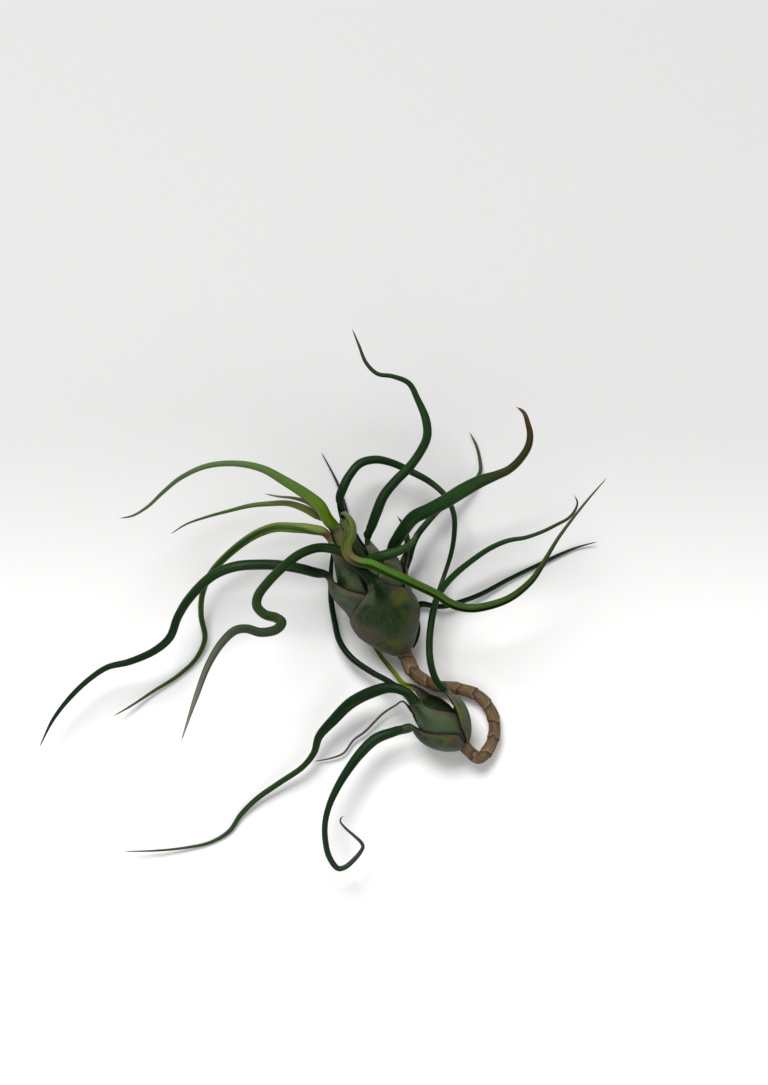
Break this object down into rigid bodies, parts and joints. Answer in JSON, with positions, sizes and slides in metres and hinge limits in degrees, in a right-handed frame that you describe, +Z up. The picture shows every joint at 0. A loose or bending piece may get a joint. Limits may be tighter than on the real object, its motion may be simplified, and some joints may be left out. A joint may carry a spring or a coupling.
{
  "type": "air plant",
  "caption": "Bulbous air plant with an offset on a woody runner, its rolled leaves spreading and curling from swollen sheaths, lying on its back.",
  "frame": {"origin": "middle of the small flat spot under the larger bulb, on which the plant lies", "axes": "+Z up from the ground; +Y away from the larger bulb's base, its neck leaning from +Y towards -X; +X to the right seen from above"},
  "size_m": [0.1413, 0.1338, 0.0608],
  "materials": {
    "blade_dark": "smooth dark green leaf with a soft sheen",
    "blade_green": "smooth fresh green leaf with a soft sheen",
    "blade_young": "smooth yellow-green young leaf",
    "blade_olive": "smooth olive leaf with a greying tip",
    "blade_dry": "dry grey-brown leaf",
    "woody_stem": "rough brown fibrous stem"
  },
  "bodies": {
    "root": {"leaf_front": "blade_dark", "leaf_right_low": "blade_dark", "leaf_left_dark": "blade_dark", "leaf_right_thin": "blade_dark", "leaf_right_broad": "blade_dark", "leaf_spike": "blade_dark", "leaf_short_green": "blade_green", "leaf_left_low": "blade_green", "leaf_top": "blade_dark", "leaf_upper_left": "blade_young", "leaf_grey_tip": "blade_olive", "leaf_olive_left": "blade_olive", "leaf_arch": "blade_dark", "leaf_looped": "blade_green", "pup_leaf_hooked": "blade_dark", "pup_leaf_right": "blade_dark", "pup_leaf_left": "blade_green", "pup_leaf_dry": "blade_dry", "pup_leaf_behind": "blade_dark", "pup_leaf_young": "blade_young", "rootstock": "woody_stem"}
  },
  "joints": []
}
